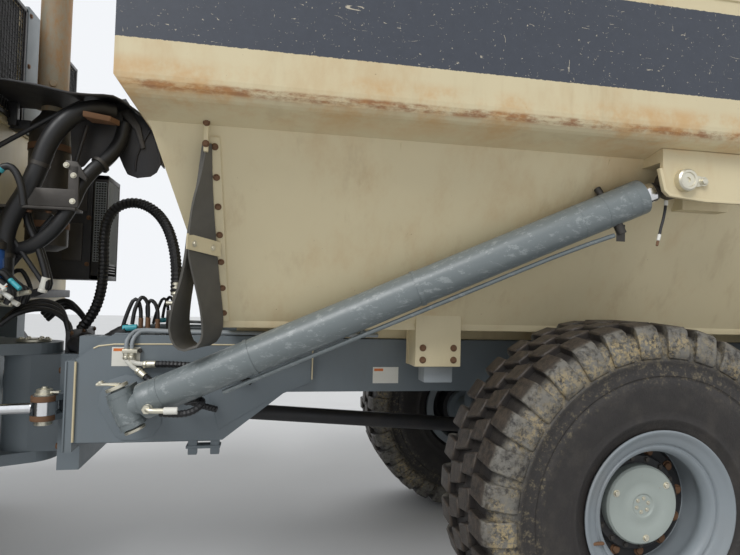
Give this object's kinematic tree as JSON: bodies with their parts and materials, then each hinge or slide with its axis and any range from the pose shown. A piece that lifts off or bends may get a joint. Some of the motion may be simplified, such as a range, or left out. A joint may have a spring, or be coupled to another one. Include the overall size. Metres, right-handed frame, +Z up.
{
  "type": "articulated dump truck",
  "caption": "Articulated off-road dump truck with a pivoting, rolling frame joint and a tipping body raised by two hoist cylinders.",
  "frame": {"origin": "on the ground below the centre of the whole truck", "axes": "+X towards the tail, +Y towards the truck's right side, +Z up"},
  "size_m": [9.7998, 2.89, 3.4099],
  "materials": {
    "cream_paint": "weathered semi-gloss",
    "grey_paint": "weathered satin",
    "black_paint": "satin",
    "tyre": "dusty rubber",
    "rubber": "matte",
    "rod": "polished",
    "glass": "clear",
    "interior": "matte",
    "rust_steel": "rusty"
  },
  "bodies": {
    "tractor": {"tractor_frame": "grey_paint", "front_bumper": "grey_paint", "front_axle": "grey_paint", "cab_shell": "cream_paint", "cab_glass": "glass", "cab_interior": "interior", "engine": "black_paint", "front_fenders": "black_paint", "ladder": "black_paint", "fuel_tank": "grey_paint", "exhaust_stack": "rust_steel", "rear_shield": "black_paint", "oil_cooler": "black_paint", "intake_pipes": "black_paint", "mirrors": "black_paint"},
    "cab_door": {"cab_door": "cream_paint"},
    "bonnet": {"bonnet": "black_paint"},
    "hitch": {"hitch_yoke": "grey_paint"},
    "rear": {"rear_frame": "grey_paint", "axle_front_bogie": "grey_paint", "axle_rear_bogie": "grey_paint", "walking_beams": "grey_paint", "prop_shafts": "black_paint"},
    "dump_body": {"dump_body": "cream_paint", "spill_flap_left": "rubber", "spill_flap_right": "rubber"},
    "steer_barrel_left": {"steer_barrel_left": "grey_paint"},
    "steer_rod_left": {"steer_rod_left": "rod"},
    "hoist_swivel_left": {"hoist_swivel_left": "grey_paint"},
    "hoist_barrel_left": {"hoist_barrel_left": "grey_paint"},
    "hoist_rod_left": {"hoist_rod_left": "rod"},
    "wheel_front_left": {"tyre_front_left": "tyre", "rim_front_left": "grey_paint"},
    "wheel_mid_left": {"tyre_mid_left": "tyre", "rim_mid_left": "grey_paint"},
    "wheel_rear_left": {"tyre_rear_left": "tyre", "rim_rear_left": "grey_paint"},
    "steer_barrel_right": {"steer_barrel_right": "grey_paint"},
    "steer_rod_right": {"steer_rod_right": "rod"},
    "hoist_swivel_right": {"hoist_swivel_right": "grey_paint"},
    "hoist_barrel_right": {"hoist_barrel_right": "grey_paint"},
    "hoist_rod_right": {"hoist_rod_right": "rod"},
    "wheel_front_right": {"tyre_front_right": "tyre", "rim_front_right": "grey_paint"},
    "wheel_mid_right": {"tyre_mid_right": "tyre", "rim_mid_right": "grey_paint"},
    "wheel_rear_right": {"tyre_rear_right": "tyre", "rim_rear_right": "grey_paint"}
  },
  "joints": [
    {"name": "steer", "type": "hinge", "parent": "tractor", "child": "hitch", "pos_m": [-1.35, 0, 1.08], "axis": [0, 0, 1], "range_deg": [-45, 45]},
    {"name": "frame_roll", "type": "hinge", "parent": "hitch", "child": "rear", "pos_m": [-1, 0, 1.08], "axis": [1, 0, 0], "range_deg": [-15, 15]},
    {"name": "tip", "type": "hinge", "parent": "rear", "child": "dump_body", "pos_m": [3.78, 0, 1.29], "axis": [0, 1, 0], "range_deg": [0, 62]},
    {"name": "cab_door_swing", "type": "hinge", "parent": "tractor", "child": "cab_door", "pos_m": [-1.965, -0.776, 2.3], "axis": [0, 0, 1], "range_deg": [0, 85]},
    {"name": "bonnet_tilt", "type": "hinge", "parent": "tractor", "child": "bonnet", "pos_m": [-4.74, 0, 1.165], "axis": [0, 1, 0], "range_deg": [-55, 0]},
    {"name": "steer_barrel_swing_left", "type": "hinge", "parent": "tractor", "child": "steer_barrel_left", "pos_m": [-2.53, -0.64, 1.09], "axis": [0, 0, 1], "range_deg": [-5, 5]},
    {"name": "steer_rod_slide_left", "type": "slide", "parent": "steer_barrel_left", "child": "steer_rod_left", "axis": [0.9853, 0.1707, 0], "range_m": [-0.345, 0.345]},
    {"name": "hoist_swivel_swing_left", "type": "hinge", "parent": "rear", "child": "hoist_swivel_left", "pos_m": [-0.67, -0.77, 1.152], "axis": [0, -1, 0], "range_deg": [-6, 6]},
    {"name": "hoist_barrel_splay_left", "type": "hinge", "parent": "hoist_swivel_left", "child": "hoist_barrel_left", "pos_m": [-0.67, -0.77, 1.152], "axis": [-0.4083, 0, 0.9129], "range_deg": [-6, 6]},
    {"name": "hoist_rod_slide_left", "type": "slide", "parent": "hoist_barrel_left", "child": "hoist_rod_left", "axis": [0.8999, -0.1679, 0.4025], "range_m": [0, 2.3]},
    {"name": "wheel_front_left_spin", "type": "hinge", "parent": "tractor", "child": "wheel_front_left", "pos_m": [-2.7, -1.15, 0.805], "axis": [0, 1, 0], "continuous": true},
    {"name": "wheel_mid_left_spin", "type": "hinge", "parent": "rear", "child": "wheel_mid_left", "pos_m": [1.6, -1.15, 0.805], "axis": [0, 1, 0], "continuous": true},
    {"name": "wheel_rear_left_spin", "type": "hinge", "parent": "rear", "child": "wheel_rear_left", "pos_m": [3.3, -1.15, 0.805], "axis": [0, 1, 0], "continuous": true},
    {"name": "steer_barrel_swing_right", "type": "hinge", "parent": "tractor", "child": "steer_barrel_right", "pos_m": [-2.53, 0.64, 1.09], "axis": [0, 0, 1], "range_deg": [-5, 5]},
    {"name": "steer_rod_slide_right", "type": "slide", "parent": "steer_barrel_right", "child": "steer_rod_right", "axis": [0.9853, -0.1707, 0], "range_m": [-0.345, 0.345]},
    {"name": "hoist_swivel_swing_right", "type": "hinge", "parent": "rear", "child": "hoist_swivel_right", "pos_m": [-0.67, 0.77, 1.152], "axis": [0, -1, 0], "range_deg": [-6, 6]},
    {"name": "hoist_barrel_splay_right", "type": "hinge", "parent": "hoist_swivel_right", "child": "hoist_barrel_right", "pos_m": [-0.67, 0.77, 1.152], "axis": [0.4083, 0, -0.9129], "range_deg": [-6, 6]},
    {"name": "hoist_rod_slide_right", "type": "slide", "parent": "hoist_barrel_right", "child": "hoist_rod_right", "axis": [0.8999, 0.1679, 0.4025], "range_m": [0, 2.3]},
    {"name": "wheel_front_right_spin", "type": "hinge", "parent": "tractor", "child": "wheel_front_right", "pos_m": [-2.7, 1.15, 0.805], "axis": [0, 1, 0], "continuous": true},
    {"name": "wheel_mid_right_spin", "type": "hinge", "parent": "rear", "child": "wheel_mid_right", "pos_m": [1.6, 1.15, 0.805], "axis": [0, 1, 0], "continuous": true},
    {"name": "wheel_rear_right_spin", "type": "hinge", "parent": "rear", "child": "wheel_rear_right", "pos_m": [3.3, 1.15, 0.805], "axis": [0, 1, 0], "continuous": true}
  ],
  "couplings": [
    {"joint": "steer_barrel_swing_left", "follows": "steer", "ratio": 0.06482},
    {"joint": "steer_rod_slide_left", "follows": "steer", "m_per_rad": 0.425},
    {"joint": "hoist_swivel_swing_left", "follows": "tip", "ratio": 0.06812},
    {"joint": "hoist_barrel_splay_left", "follows": "tip", "ratio": 0.07343},
    {"joint": "hoist_rod_slide_left", "follows": "tip", "m_per_rad": 2.0765},
    {"joint": "steer_barrel_swing_right", "follows": "steer", "ratio": 0.06482},
    {"joint": "steer_rod_slide_right", "follows": "steer", "m_per_rad": -0.425},
    {"joint": "hoist_swivel_swing_right", "follows": "tip", "ratio": 0.06812},
    {"joint": "hoist_barrel_splay_right", "follows": "tip", "ratio": 0.07343},
    {"joint": "hoist_rod_slide_right", "follows": "tip", "m_per_rad": 2.0765}
  ]
}
